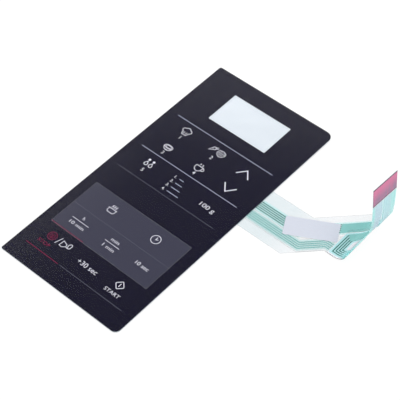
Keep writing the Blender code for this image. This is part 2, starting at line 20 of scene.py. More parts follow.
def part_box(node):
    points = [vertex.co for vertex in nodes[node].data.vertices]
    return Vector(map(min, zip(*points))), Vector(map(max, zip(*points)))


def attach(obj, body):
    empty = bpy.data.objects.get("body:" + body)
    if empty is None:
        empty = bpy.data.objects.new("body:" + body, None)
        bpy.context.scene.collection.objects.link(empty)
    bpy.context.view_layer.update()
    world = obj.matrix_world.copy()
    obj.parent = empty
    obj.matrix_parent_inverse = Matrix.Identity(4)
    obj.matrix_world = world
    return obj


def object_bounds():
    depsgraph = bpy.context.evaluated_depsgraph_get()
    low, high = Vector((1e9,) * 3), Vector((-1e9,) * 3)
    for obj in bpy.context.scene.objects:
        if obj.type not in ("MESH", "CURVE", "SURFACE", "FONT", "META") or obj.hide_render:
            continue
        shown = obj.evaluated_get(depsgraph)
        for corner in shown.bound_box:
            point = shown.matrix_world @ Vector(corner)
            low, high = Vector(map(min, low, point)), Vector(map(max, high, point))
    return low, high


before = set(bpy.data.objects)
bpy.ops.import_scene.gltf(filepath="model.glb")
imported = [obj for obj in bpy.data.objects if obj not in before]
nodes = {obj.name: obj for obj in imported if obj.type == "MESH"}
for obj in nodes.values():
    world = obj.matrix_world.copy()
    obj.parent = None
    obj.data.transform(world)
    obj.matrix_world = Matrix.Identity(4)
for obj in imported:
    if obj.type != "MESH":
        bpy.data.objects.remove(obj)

MM = 0.001
cad_low, cad_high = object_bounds()
face_low, face_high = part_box("face_film")
print("layers", len(nodes), "size in mm", [round(side / MM, 1) for side in cad_high - cad_low])

# %% [markdown]
# ## The camera
#
# A long lens looks down at the panel from its lower right. Such a view could be framed by eye, but
# here it is given as a point on the table, a direction towards the lens and a distance. These
# four numbers say the same in any unit, and they are easy to change one at a time. A small roll
# about the line of sight is added last.

# %% Camera
AIM = Vector((0.01864, 0.00579, 0.0))
CAMERA_DISTANCE = 0.8843
CAMERA_AZIMUTH = math.radians(-46.74)
CAMERA_ELEVATION = math.radians(50.26)
CAMERA_ROLL = math.radians(-2.06)
LENS_MM = 123.84


def direction(azimuth, elevation):
    """The unit vector at an angle from +X towards +Y, and above the horizon."""
    flat = math.cos(elevation)
    return Vector((flat * math.cos(azimuth), flat * math.sin(azimuth), math.sin(elevation)))


towards_lens = direction(CAMERA_AZIMUTH, CAMERA_ELEVATION)
camera = bpy.data.objects.new("camera", bpy.data.cameras.new("camera"))
camera.data.lens = LENS_MM
camera.data.sensor_width = 36.0
camera.data.clip_start = 0.01
camera.location = AIM + towards_lens * CAMERA_DISTANCE
camera.rotation_mode = "QUATERNION"
level = (-towards_lens).to_track_quat("-Z", "Y")
camera.rotation_quaternion = level @ Quaternion((0, 0, 1), CAMERA_ROLL)
bpy.context.scene.collection.objects.link(camera)
bpy.context.scene.camera = camera
bpy.context.scene.view_settings.view_transform = "Standard"
print("camera at", [round(c, 3) for c in camera.location])

# %% [markdown]
# ## Wiring shaders like sums
#
# A finish is a small network of nodes. Placing and linking each node by hand hides the idea, so
# one class wraps a socket and lets Python's own operators add the Math nodes: `1 - mask` reads
# as it works. A second class holds a node tree and has a single method that adds any other
# node: its settings first, then the values or links of its sockets.

# %% Signals


class Signal:
    """A value or colour on its way through a material."""

    def __init__(self, tree, socket):
        self.tree = tree
        self.socket = socket

    def combined(self, operation, first, second):
        node = self.tree.nodes.new("ShaderNodeMath")
        node.operation = operation
        for socket, value in zip(node.inputs, (first, second)):
            feed(self.tree, socket, value)
        return Signal(self.tree, node.outputs[0])

    def __add__(self, other):
        return self.combined("ADD", self, other)

    def __radd__(self, other):
        return self.combined("ADD", other, self)

    def __sub__(self, other):
        return self.combined("SUBTRACT", self, other)

    def __rsub__(self, other):
        return self.combined("SUBTRACT", other, self)

    def __mul__(self, other):
        return self.combined("MULTIPLY", self, other)

    def __rmul__(self, other):
        return self.combined("MULTIPLY", other, self)


def feed(tree, socket, value):
    """Links a signal to a socket, or sets the socket to a plain value."""
    if isinstance(value, Signal):
        tree.links.new(value.socket, socket)
    else:
        socket.default_value = value


class Network:
    """A node tree, with one way to add any node that isn't a sum."""

    def __init__(self, tree):
        self.tree = tree

    def node(self, kind, settings=None, values=None, output=None):
        """Adds a node: its settings, then its sockets; gives back one output."""
        made = self.tree.nodes.new(kind)
        for name, value in (settings or {}).items():
            setattr(made, name, value)
        for name, value in (values or {}).items():
            by_name = [s for s in made.inputs if s.enabled and s.name == name]
            feed(self.tree, by_name[0] if by_name else made.inputs[name], value)
        live = [s for s in made.outputs if s.enabled]
        return Signal(self.tree, next((s for s in live if s.name == output), live[0]))


print("signals are ready")

# %% [markdown]
# ## One class for a finish
#
# A material is such a network with a main shader. The class below starts it from a colour and a
# gloss, and offers the few patterns that this object needs: noise, a ramp, a blend of two
# colours, a bump and a dye. Object coordinates drive them all, so no unwrapping is needed.

# %% Finishes


class Finish(Network):
    """One material, from its constants to the patterns that vary over the surface."""

    def __init__(self, name, colour, roughness, specular=0.5, alpha=1.0):
        self.material = bpy.data.materials.new(name)
        self.material.use_nodes = True
        super().__init__(self.material.node_tree)
        self.shader = self.tree.nodes["Principled BSDF"]
        self.set("Base Color", (*colour, 1.0))
        self.set("Roughness", roughness)
        self.set("Specular IOR Level", specular)
        self.set("Alpha", alpha)
        self.here = self.node("ShaderNodeTexCoord", output="Object")

    def set(self, name, value):
        feed(self.tree, self.shader.inputs[name], value)

    def noise(self, grain, detail=2.0, place=None):
        """Cloudy values from 0 to 1, with lumps of about the given size in metres."""
        values = {"Vector": place or self.here, "Scale": 1 / grain, "Detail": detail}
        return self.node("ShaderNodeTexNoise", values=values, output="Fac")

    def ramp(self, signal, low, high):
        """Spreads the part of a signal between low and high over 0 to 1."""
        values = {"Value": signal, "From Min": low, "From Max": high}
        return self.node("ShaderNodeMapRange", {"clamp": True}, values)

    def blended(self, mask, first, second):
        """A colour between two, by a mask."""
        values = {"Factor": mask, "A": opaque(first), "B": opaque(second)}
        return self.node("ShaderNodeMix", {"data_type": "RGBA"}, values)

    def split(self, signal, axis):
        return self.node("ShaderNodeSeparateXYZ", values={"Vector": signal}, output=axis)

    def bump(self, height, depth):
        """Roughens the surface by a height signal, to a depth in metres."""
        values = {"Height": height, "Distance": depth, "Strength": 1.0}
        self.set("Normal", self.node("ShaderNodeBump", values=values))

    def dyed(self, tint, share):
        """Lets light through in a colour, as a dye does; a share of it meets the finish itself."""
        clear = self.node("ShaderNodeBsdfTransparent", values={"Color": (*tint, 1.0)})
        own = Signal(self.tree, self.shader.outputs[0])
        mixed = self.node("ShaderNodeMixShader", values={0: share, 1: clear, 2: own})
        self.tree.links.new(mixed.socket, self.tree.nodes["Material Output"].inputs["Surface"])
        return self

    def coat_nodes(self, *names):
        """Puts the finish on CAD layers."""
        for name in names:
            for slot in nodes[name].material_slots:
                slot.material = self.material
        return self


def opaque(colour):
    return colour if isinstance(colour, Signal) else (*colour, 1.0)


print("finishes are ready")

# %% [markdown]
# ## Floor and light
#
# The panel lies on a white sweep. The floor is a plain plane that glows a little towards the
# lens and reflects the rest, so the shadow of the curled tail stays soft and light. The room is
# an even white world. A dark glossy face shows mostly what it mirrors, so the lamps are placed by
# their mirror images: one behind the panel pales its far end, and one on the left pales its left
# edge all the way down and leaves the rest dark. A third, low on the right, fills the curled tail.

# %% Floor
FLOOR_DROP = 0.0002
FLOOR_HALF = 6.0
FLOOR_GLOW = 0.88
FLOOR_COLOUR = (0.17, 0.17, 0.17)

mesh = bpy.data.meshes.new("floor")
corners = [(x * FLOOR_HALF, y * FLOOR_HALF, 0) for x, y in ((-1, -1), (1, -1), (1, 1), (-1, 1))]
mesh.from_pydata(corners, [], [(0, 1, 2, 3)])
floor = bpy.data.objects.new("floor", mesh)
floor.location = (0, 0, cad_low.z - FLOOR_DROP)
bpy.context.scene.collection.objects.link(floor)
sweep = Finish("white_sweep", FLOOR_COLOUR, roughness=0.9, specular=0.0)


def seen_rays(network):
    """1 for rays that show the background: to the lens, or off or through something shiny."""
    hidden = 1.0
    for kind in ("Is Camera Ray", "Is Glossy Ray", "Is Transmission Ray"):
        hidden = hidden * (1 - network.node("ShaderNodeLightPath", output=kind))
    return 1 - hidden


sweep.set("Emission Color", sweep.blended(seen_rays(sweep), (0, 0, 0), (1, 1, 1)))
sweep.set("Emission Strength", FLOOR_GLOW)
floor.data.materials.append(sweep.material)
print("floor at", round(floor.location.z / MM, 2), "mm")

# %% World and lamps
ROOM_STRENGTH = 0.775
BACK_PLACE, BACK_TARGET = Vector((-0.23, 0.55, 0.45)), Vector((0, 0, 0))
BACK_SIZE = (0.42, 0.22)
BACK_POWER = 0.76
LEFT_PLACE, LEFT_TARGET = Vector((-0.44, 0.235, 0.42)), Vector((0, 0.295, 0))
LEFT_SIZE = (0.40, 0.20)
LEFT_POWER = 0.76
FILL_PLACE, FILL_TARGET = Vector((0.75, -0.25, 0.22)), Vector((0.11, 0.06, 0.03))
FILL_SIZE = (0.40, 0.30)
FILL_POWER = 2.6

world = bpy.data.worlds.new("room")
bpy.context.scene.world = world
world.use_nodes = True
background = world.node_tree.nodes["Background"]
background.inputs["Color"].default_value = (1.0, 1.0, 1.0, 1.0)
strength = ROOM_STRENGTH + (1 - ROOM_STRENGTH) * seen_rays(Network(world.node_tree))
feed(world.node_tree, background.inputs["Strength"], strength)


def lamp(name, place, size, power, target):
    """A wide lamp that faces its target, with its long side level."""
    made = bpy.data.objects.new(name, bpy.data.lights.new(name, "AREA"))
    made.data.shape = "RECTANGLE"
    made.data.size, made.data.size_y = size
    made.data.energy = power
    made.location = place
    made.rotation_mode = "QUATERNION"
    made.rotation_quaternion = (target - place).to_track_quat("-Z", "Y")
    bpy.context.scene.collection.objects.link(made)


lamp("back", BACK_PLACE, BACK_SIZE, BACK_POWER, BACK_TARGET)
lamp("left", LEFT_PLACE, LEFT_SIZE, LEFT_POWER, LEFT_TARGET)
lamp("fill", FILL_PLACE, FILL_SIZE, FILL_POWER, FILL_TARGET)

# %% [markdown]
# ## The printed face
#
# The face is a clear film that is printed from behind. Its colours are inks, and its fine matte
# texture is embossed into the film. One finish could paint the whole face with masks, but the
# layers are real solids here, so each ink gets its own finish and the film above stays clear.
# The texture shows in the inks' gloss, so each ink carries a fine bump and a faint mottle. The
# grey key field is printed more smoothly than the rest.

# %% Inks
EMBOSS_GRAIN = 0.00045
EMBOSS_DEPTH = 0.0000045
SMOOTH_DEPTH = 0.000001
MOTTLE_GRAIN = 0.0011
MOTTLE_RAMP = (0.35, 0.70)
INK_ROUGHNESS, GLOSS_CHANGE = 0.20, 0.08
INK_SPECULAR = 0.095


def ink(name, colour, change, depth=EMBOSS_DEPTH):
    """A printed colour under the matte film, with its mottle and the film's emboss."""
    made = Finish(name, colour, INK_ROUGHNESS, INK_SPECULAR)
    mottle = made.ramp(made.noise(MOTTLE_GRAIN, detail=3.0), *MOTTLE_RAMP)
    darker = tuple(c * (1 - change) for c in colour)
    lighter = tuple(min(c * (1 + change), 1.0) for c in colour)
    made.set("Base Color", made.blended(mottle, darker, lighter))
    emboss = made.noise(EMBOSS_GRAIN)
    made.set("Roughness", INK_ROUGHNESS - GLOSS_CHANGE / 2 + GLOSS_CHANGE * emboss)
    made.bump(emboss, depth)
    return made


ink("dark_print", (0.0032, 0.0024, 0.0150), 0.12).coat_nodes("dark_ink")
ink("grey_print", (0.046, 0.046, 0.075), 0.05, SMOOTH_DEPTH).coat_nodes("key_field_ink")
rule_ink = ink("pale_blue_print", (0.44, 0.48, 0.66), 0.10).coat_nodes("rule_1", "rule_2")
faint_ink = ink("faint_print", (0.085, 0.088, 0.125), 0.15)
faint_ink.coat_nodes("rule_3", "field_rule", "rule_foot")
red_ink = ink("red_print", (0.22, 0.008, 0.055), 0.12).coat_nodes("red_rule_top", "red_rule_foot")
legend_ink = ink("white_print", (0.76, 0.76, 0.86), 0.06)
print("inks", [m.name for m in bpy.data.materials if m.name.endswith("_print")])

# %% [markdown]
# ## The clear film over the print
#
# A matte film scatters a little light, as a faint haze with tiny bright specks. Real glass-like
# refraction would cost render time and add nothing on a film 0.2 mm thick. A mostly
# transparent surface whose alpha rises at the specks gives the same look.

# %% Face film
FILM_COLOUR = (0.42, 0.45, 0.56)
FILM_HAZE = 0.0035
SPECK_SHARE = 0.004
SPECK_GRAIN = 0.0006
SPECK_RAMP = (0.66, 0.80)

face_clear = Finish("matte_face_film", FILM_COLOUR, roughness=0.5, specular=0.3, alpha=FILM_HAZE)
specks = face_clear.ramp(face_clear.noise(SPECK_GRAIN, detail=3.0), *SPECK_RAMP)
face_clear.set("Alpha", FILM_HAZE + SPECK_SHARE * specks)
face_clear.bump(face_clear.noise(EMBOSS_GRAIN), EMBOSS_DEPTH)
face_clear.coat_nodes("face_film")
print("haze", FILM_HAZE)

# %% [markdown]
# ## The layers below
#
# Under the print lie clear adhesives, two circuit films and a spacer, on a pale release liner.
# Only the window shows them from above, but the panel's edge shows them too. Each one gets a
# finish of its own: the liner a satin paper grain, the adhesive a soft blur, and the spacer an
# uneven gloss.

# %% Liner, adhesives and spacer
LINER_COLOUR = (0.678, 0.739, 0.803)
FIBRE_DARK, FIBRE_LIGHT = (0.662, 0.723, 0.787), (0.694, 0.755, 0.819)
FIBRE_GRAIN, FIBRE_DEPTH = 0.004, 0.00002
GLUE_COLOUR, GLUE_ALPHA = (0.80, 0.84, 0.88), 0.35
GLUE_GRAIN, GLUE_DEPTH = 0.003, 0.00002
SPACER_COLOUR, SPACER_ALPHA = (0.78, 0.83, 0.87), 0.45
SPACER_GRAIN, SPACER_ROUGHNESS, SPACER_CHANGE = 0.0015, 0.42, 0.16

liner = Finish("liner_paper", LINER_COLOUR, roughness=0.45)
fibres = liner.noise(FIBRE_GRAIN, detail=5.0)
liner.set("Base Color", liner.blended(fibres, FIBRE_DARK, FIBRE_LIGHT))
liner.bump(fibres, FIBRE_DEPTH)
liner.coat_nodes("release_liner")

adhesive = Finish("clear_adhesive", GLUE_COLOUR, roughness=0.35, alpha=GLUE_ALPHA)
adhesive.bump(adhesive.noise(GLUE_GRAIN, detail=3.0), GLUE_DEPTH)
adhesive.coat_nodes("face_adhesive", "rear_adhesive")

spacer = Finish("spacer_film", SPACER_COLOUR, SPACER_ROUGHNESS, alpha=SPACER_ALPHA)
spacer.set("Roughness", SPACER_ROUGHNESS + SPACER_CHANGE * spacer.noise(SPACER_GRAIN))
spacer.coat_nodes("spacer")
print("liner", LINER_COLOUR)

# %% [markdown]
# ## The circuit films
#
# A clear film could be one even haze, but the eight see-through faces that a ray may cross are
# soon used up in a stack like this, and then it turns black. So the films are solid to the eye
# where they are glued down or lie folded over the mint ink, and clear where they run free. Their
# cut edges are painted dark, a painted shade for the shadow where an edge steps down. Where they
# stand up they are painted pale and milky with soft bands, a painted light for the light that the
# standing film catches. Masks made from the place on the film, in metres, tell these apart.

# %% Where a film changes
# Painted light: where the film stands up it is painted pale and milky, for the light it catches.
STANDING_PAINTED_LIGHT = (0.52, 0.97, 0.96)
STANDING_SHADE = (0.63, 0.85, 0.95)
STANDING_LIT_HAZE = 0.70
STANDING_HEIGHT = (2 * MM, 5 * MM)
BAND_SOFTNESS = 0.06
NEAR_BAND, FAR_BAND, FAR_BAND_SHARE = (0.12, 0.36), (0.46, 0.72), 0.6
FAR_COLOUR = (0.66, 0.71, 0.79)
FAR_REACH = (20 * MM, 45 * MM)
FAR_CLEARING = 0.3
FLAP_COLOUR = (0.84, 0.84, 0.90)
FOLD_HEIGHT = (0.80 * MM, 0.86 * MM)
MINT_EDGE_PLACE = 7.7 * MM
MINT_EDGE = face_low.y - face_low.x - MINT_EDGE_PLACE
MINT_EDGE_SOFTNESS = 0.4 * MM
# Painted shade: the films' cut edges are painted near black, for the shadow where an edge steps
# down.
CUT_EDGE_SHADE = (0.012, 0.04, 0.045)
CUT_EDGE_RAMP = (0.05, 0.01)
FILM_ROUGHNESS = 0.22
DRIFT_GRAIN, FILM_DRIFT = 0.012, 0.06
WAVE_GRAIN, WAVE_DEPTH = 0.02, 0.0004
LOWER_COLOUR, LOWER_HAZE = (0.34, 0.57, 0.66), 0.17
UPPER_COLOUR, UPPER_HAZE = (0.50, 0.80, 0.84), 0.05
plate_low, plate_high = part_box("tail_stiffener")
print("films stand up from", round(STANDING_HEIGHT[0] / MM, 1), "mm")

# %% Circuit films


def hump(finish, signal, start, end):
    """1 between two values of a signal, with soft sides."""
    rising = finish.ramp(signal, start - BAND_SOFTNESS, start)
    return rising * finish.ramp(signal, end + BAND_SOFTNESS, end)


def clear_film(name, colour, alpha, flap=0.0):
    """Circuit film: liner where glued, clear when free; painted shade on cut edges, painted light
    on end.
    """
    made = Finish(name, colour, FILM_ROUGHNESS)
    along, height = made.split(made.here, "X"), made.split(made.here, "Z")
    free = made.ramp(along, face_high.x - MM, face_high.x)
    far = made.ramp(along, *[face_high.x + reach for reach in FAR_REACH])
    lit_standing = made.ramp(height, *STANDING_HEIGHT)
    sideways = made.split(made.here, "Y") - along
    beyond = made.ramp(sideways, MINT_EDGE, MINT_EDGE + MINT_EDGE_SOFTNESS)
    folded = flap * made.ramp(height, *FOLD_HEIGHT) * (1 - lit_standing) * (1 - beyond)
    upright = made.split(made.node("ShaderNodeTexCoord", output="Normal"), "Z")
    # Painted shade: the cut edges are painted dark and solid.
    cut_edge_shade = made.ramp(upright * upright, *CUT_EDGE_RAMP) * (1 - lit_standing) * free
    across = made.ramp(made.split(made.here, "Y"), plate_low.y, plate_high.y)
    shaded = hump(made, across, *NEAR_BAND) + FAR_BAND_SHARE * hump(made, across, *FAR_BAND)
    # Painted light: the standing film is painted pale, with soft bands of a second colour across
    # it.
    lit_wall = made.blended(shaded, STANDING_PAINTED_LIGHT, STANDING_SHADE)
    seen = made.blended(far, colour, FAR_COLOUR)
    seen = made.blended(folded, seen, FLAP_COLOUR)
    seen = made.blended(lit_standing, seen, lit_wall)
    seen = made.blended(1 - free, seen, LINER_COLOUR)
    made.set("Base Color", made.blended(cut_edge_shade, seen, CUT_EDGE_SHADE))
    drift = FILM_DRIFT * made.noise(DRIFT_GRAIN, detail=3.0) - FILM_DRIFT / 2
    haze = alpha + drift - alpha * FAR_CLEARING * far
    # Painted light: the standing film is made milkier, so more of its pale painted colour shows.
    clear = haze + (STANDING_LIT_HAZE - alpha) * lit_standing
    made.set("Alpha", 1 - free * (1 - folded) * (1 - cut_edge_shade) * (1 - clear))
    made.bump(made.noise(WAVE_GRAIN, detail=1.0), WAVE_DEPTH)
    return made


clear_film("lower_film", LOWER_COLOUR, LOWER_HAZE).coat_nodes("lower_circuit_film")
clear_film("upper_film", UPPER_COLOUR, UPPER_HAZE, flap=1.0).coat_nodes("upper_circuit_film")
print("films", [m.name for m in bpy.data.materials if m.name.endswith("_film")])

# %% [markdown]
# ## Tracks and insulation on the tail
#
# The conductors are printed silver. Where they cross the tail they are covered with a mint green
# insulating ink, and look dark green. On the part that stands up they are painted in the pale
# colour of the film there, as painted light, and at the contacts the paste is covered with black
# carbon. The colours are chosen by height.
# The mint ink lets light through in its own tint, as a dye does, and a small share of it is
# a dull surface, so the tracks show through it.

# %% Tracks and insulation
TRACK_METAL = 0.25
COVERED_SILVER = (0.016, 0.120, 0.102)
FILMED_SILVER = (0.155, 0.42, 0.40)
# Painted light: on the standing film the tracks are painted in its pale lit colour.
STANDING_LIT_TRACK = (0.60, 0.80, 0.84)
LIT_TRACK_HEIGHT = (1.5 * MM, 2.5 * MM)
CARBON = (0.05, 0.05, 0.06)
PASTE_DARK, PASTE_LIGHT = (0.85, 0.85, 0.85), (1.15, 1.15, 1.15)
PASTE_GRAIN, PASTE_DEPTH = 0.0004, 0.00001


def silver(name, start, filmed=COVERED_SILVER):
    """Silver paste with its grain; it may be paler under the film than under the mint ink."""
    made = Finish(name, COVERED_SILVER, roughness=0.5)
    paste = made.noise(PASTE_GRAIN, detail=3.0)
    height = made.split(made.here, "Z")
    shade = made.blended(made.ramp(height, *FOLD_HEIGHT), filmed, COVERED_SILVER)
    # Painted light: the part that stands up is painted pale.
    shade = made.blended(made.ramp(height, *LIT_TRACK_HEIGHT), shade, STANDING_LIT_TRACK)
    contact = made.ramp(height, plate_low.z, plate_low.z + MM)
    shade = made.blended(contact, shade, CARBON)
    values = {"Factor": 1.0, "A": shade, "B": made.blended(paste, PASTE_DARK, PASTE_LIGHT)}
    tinted = made.node("ShaderNodeMix", {"data_type": "RGBA", "blend_type": "MULTIPLY"}, values)
    made.set("Base Color", tinted)
    made.set("Metallic", TRACK_METAL)
    made.bump(paste, PASTE_DEPTH)
    made.coat_nodes(*[layer for layer in nodes if layer.startswith(start)])


silver("row_silver", "row_conductor")
silver("column_silver", "column_conductor", FILMED_SILVER)

CLOUD_LIFT = 1.08
CLOUD_GRAIN, TEXTURE_GRAIN, TEXTURE_DEPTH = 0.005, 0.0006, 0.00001
MINT, MINT_DYE, MINT_SHARE = (0.55, 0.90, 0.88), (0.90, 1.0, 0.995), 0.06
GREEN = (0.235, 0.560, 0.540)


def insulation(name, colour):
    """Green insulating ink: soft, slightly uneven, with a dull gloss."""
    made = Finish(name, colour, roughness=0.4, specular=0.35)
    cloud = made.noise(CLOUD_GRAIN, detail=3.0)
    light = tuple(min(1.0, c * CLOUD_LIFT) for c in colour)
    made.set("Base Color", made.blended(cloud, colour, light))
    made.bump(made.noise(TEXTURE_GRAIN), TEXTURE_DEPTH)
    return made


mint = insulation("mint_insulation", MINT).dyed(MINT_DYE, MINT_SHARE)
mint.coat_nodes("lower_insulation", "upper_insulation")
green = insulation("green_insulation", GREEN)
print("tracks", len([name for name in nodes if "conductor" in name]))

# %% [markdown]
# ## Label and stiffener
#
# The label across the tail is blank film with a fine paper tooth. The stiffener at the end is a
# translucent pink plate. Its upper part is clean and strong in colour, and through its lower part
# the contacts show as darker stripes. It has dark cut edges and a bright line at its foot. The
# plate stands a little askew, so the height that drives all this is measured along the plate.

# %% Label
LABEL_COLOUR = (0.64, 0.67, 0.765)
TOOTH_DARK, TOOTH_LIGHT = (0.62, 0.65, 0.745), (0.66, 0.69, 0.785)
TOOTH_GRAIN, TOOTH_DEPTH = 0.0007, 0.00001

label = Finish("blank_label", LABEL_COLOUR, roughness=0.5)
tooth = label.noise(TOOTH_GRAIN, detail=4.0)
label.set("Base Color", label.blended(tooth, TOOTH_DARK, TOOTH_LIGHT))
label.bump(tooth, TOOTH_DEPTH)
label.coat_nodes("tail_label")
print("label", LABEL_COLOUR)

# %% Stiffener
END_SLOPE = math.tan(math.radians(3.8))
PINK, MAUVE = (0.72, 0.19, 0.37), (0.40, 0.25, 0.40)
RIM_DARK, RIM_LIGHT = (0.16, 0.07, 0.12), (0.86, 0.88, 0.93)
CLEAR_RAMP, STRIPE_RAMP, STRIPE_GRAIN = (0.30, 0.74), (0.40, 0.60), 0.0034
FOOT_RIM, TOP_RIM, BRIGHT_LINE = (0.11, 0.09), (0.94, 0.955), (0.05, 0.04)
FAINTEST_STRIPE = 0.45
PLATE_ALPHA, CLEAN_GAIN = 0.72, 0.20
PLATE_GRAIN, PLATE_DEPTH = 0.003, 0.00003

pink = Finish("pink_stiffener", PINK, roughness=0.35)
across = pink.split(pink.here, "Y") - plate_low.y
rise = pink.split(pink.here, "Z") - plate_low.z
slant = END_SLOPE * (plate_high.y - plate_low.y)
height = pink.ramp(rise + END_SLOPE * across, slant, plate_high.z - plate_low.z)
place = {"X": 0.0, "Y": across - END_SLOPE * rise, "Z": 0.0}
only_across = pink.node("ShaderNodeCombineXYZ", values=place)
stripe = pink.ramp(pink.noise(STRIPE_GRAIN, 1.0, only_across), *STRIPE_RAMP)
upper = pink.ramp(height, *CLEAR_RAMP)
striped = FAINTEST_STRIPE + (1 - FAINTEST_STRIPE) * stripe
colour = pink.blended((1 - upper) * striped, PINK, MAUVE)
rims = pink.ramp(height, *FOOT_RIM) + pink.ramp(height, *TOP_RIM)
colour = pink.blended(rims, colour, RIM_DARK)
colour = pink.blended(pink.ramp(height, *BRIGHT_LINE), colour, RIM_LIGHT)
pink.set("Base Color", colour)
pink.set("Alpha", PLATE_ALPHA + CLEAN_GAIN * upper)
pink.bump(pink.noise(PLATE_GRAIN), PLATE_DEPTH)
pink.coat_nodes("tail_stiffener")
print("stiffener from", round(plate_low.z / MM, 1), "to", round(plate_high.z / MM, 1), "mm")

# %% [markdown]
# ## Drawing with ink
#
# Each pictogram is a thin solid of ink at the height of the printed rules, under the face film.
# Curves with a bevel would stand proud of the sheet, and an image would need a texture, so the
# lines are drawn as ribbons: every line is a run of points with a width, its two sides are
# mitred, and the flat result is given the thickness of the ink.

# %% Ink lines
rule_low, rule_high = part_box("rule_1")
INK_THICKNESS = rule_high.z - rule_low.z
LINE = 0.44
ARC_STEP = 15
MITRE_LIMIT = 0.5


def on_face(x, y):
    """Millimetres from the panel's lower left corner, as metres in the frame."""
    return face_low.x + x * MM, face_low.y + y * MM


def arc(centre, radius, start, end, squash=1.0):
    """Points round a centre from one angle to another, in degrees."""
    steps = max(4, round(abs(end - start) / ARC_STEP))
    angles = [math.radians(start + (end - start) * i / steps) for i in range(steps + 1)]
    wide, high = radius, radius * squash
    return [(centre[0] + wide * math.cos(a), centre[1] + high * math.sin(a)) for a in angles]


def ring(centre, radius, squash=1.0):
    """Points all the way round a centre, without the first one again."""
    return arc(centre, radius, 0, 360 - ARC_STEP, squash)


def sides(points, width, closed):
    """The two sides of a line of the given width, mitred at each corner."""
    points = [Vector(p) for p in points]
    left, right = [], []
    for i, point in enumerate(points):
        ways = []
        if i or closed:
            ways.append((point - points[i - 1]).normalized())
        if i + 1 < len(points) or closed:
            ways.append((points[(i + 1) % len(points)] - point).normalized())
        normals = [Vector((-way.y, way.x)) for way in ways]
        mitre = sum(normals, Vector((0, 0))).normalized()
        reach = width / 2 / max(mitre.dot(normals[0]), MITRE_LIMIT)
        left.append(point + mitre * reach)
        right.append(point - mitre * reach)
    return left, right


def thickened(bm, thickness):
    """Gives flat faces a thickness upwards."""
    made = bmesh.ops.extrude_face_region(bm, geom=bm.faces[:])["geom"]
    raised = [item for item in made if isinstance(item, bmesh.types.BMVert)]
    bmesh.ops.translate(bm, verts=raised, vec=(0, 0, thickness))
    bmesh.ops.recalc_face_normals(bm, faces=bm.faces[:])


def placed(name, bm, finish):
    """Turns a mesh into a piece that rides on the panel."""
    mesh = bpy.data.meshes.new(name)
    bm.to_mesh(mesh)
    bm.free()
    mesh.materials.append(finish.material)
    made = bpy.data.objects.new(name, mesh)
    bpy.context.scene.collection.objects.link(made)
    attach(made, "root")


print("line width", LINE, "mm, ink", round(INK_THICKNESS / MM, 3), "mm")

# %% Pictograms


class Pictogram:
    """Lines and dots about a centre on the face, in millimetres."""

    def __init__(self, name, x, y):
        self.name = name
        self.centre = Vector((x, y))
        self.bm = bmesh.new()

    def vertex(self, point):
        return self.bm.verts.new((*on_face(*(self.centre + Vector(point))), rule_low.z))

    def line(self, *points, width=LINE, closed=False):
        left, right = sides(points, width, closed)
        left, right = [[self.vertex(p) for p in side] for side in (left, right)]
        count = len(left) if closed else len(left) - 1
        for i in range(count):
            j = (i + 1) % len(left)
            self.bm.faces.new((right[i], right[j], left[j], left[i]))
        return self

    def dot(self, centre, radius):
        self.bm.faces.new([self.vertex(p) for p in ring(centre, radius)])
        return self

    def inked(self, finish=None, slot="pale_blue_ink"):
        thickened(self.bm, INK_THICKNESS)
        placed(self.name, self.bm, finish or legend_ink)


print("a ring has", len(ring((0, 0), 1)), "corners")

# %% [markdown]
# ## Pictograms of the upper keys
#
# The upper keys show plain pictograms of dishes and two large arrows. They are drawn from arcs
# and straight lines, as a sign maker would set them out, each about its own centre.

# %% Upper keys
hat = Pictogram("sign_hat", 22.8, 148.6)
puffs = (((-2.0, 0.7), 1.6, 262, 95), ((0, 1.7), 1.7, 160, 20), ((2.0, 0.7), 1.6, 85, -82))
hat.line(*[point for puff in puffs for point in arc(*puff)])
hat.line((-2.2, -0.8), (-1.9, -3.3), (1.9, -3.3), (2.2, -0.8))
hat.line((-0.8, -2.6), (-0.9, -0.6), width=0.4)
hat.line((0.8, -2.6), (0.9, -0.6), width=0.4)
hat.inked()

garden = Pictogram("sign_carrot_and_bowl", 50.4, 148.6)
garden.line((-6.2, -2.2), (-2.2, 0.3), (-2.6, 2.1), (-4.3, 1.9), closed=True)
garden.line((-2.4, 1.2), (-0.6, 1.7))
garden.line((-2.5, 1.8), (-1.3, 3.1))
garden.line((-4.6, 0.2), (-3.7, -0.1), width=0.4)
garden.line(*arc((3.2, 0.2), 3.1, 180, 360), closed=True)
garden.line(*arc((1.5, 0.7), 1.3, 170, 30), width=0.45)
garden.line(*arc((3.5, 0.9), 1.6, 160, 20), width=0.45)
garden.line(*arc((5.3, 0.6), 1.0, 150, 0), width=0.45)
garden.line((1.6, -1.2), (4.7, -1.2), width=0.4)
garden.inked()

Pictogram("arrow_up", 76.5, 145.6).line((-5.0, -3.0), (0, 3.0), (5.0, -3.0), width=0.75).inked()
Pictogram("arrow_down", 76.4, 128.9).line((-4.9, 3.0), (0, -3.0), (4.9, 3.0), width=0.75).inked()

soup = Pictogram("sign_soup", 23.0, 130.3)
soup.line(*ring((0, 0.4), 3.4, 0.45), closed=True)
soup.line(*arc((0, 0.4), 3.4, 180, 360, 0.95))
soup.line(*ring((0, 0.4), 2.4, 0.4), closed=True, width=0.4)
soup.line(*arc((0, -2.9), 1.6, 150, 30, 0.3))
soup.inked()

cup = Pictogram("sign_cup", 50.3, 130.2)
cup.line((-3.0, 1.2), *arc((-0.2, -0.5), 2.7, 190, 350), (2.6, 1.2), closed=True)
cup.line(*arc((3.0, -0.4), 1.2, 100, -110), width=0.45)
cup.line((-1.1, 2.0), (-0.5, 2.8), (-1.1, 3.6), width=0.45)
cup.line((0.9, 2.0), (1.5, 2.8), (0.9, 3.6), width=0.45)
cup.inked()

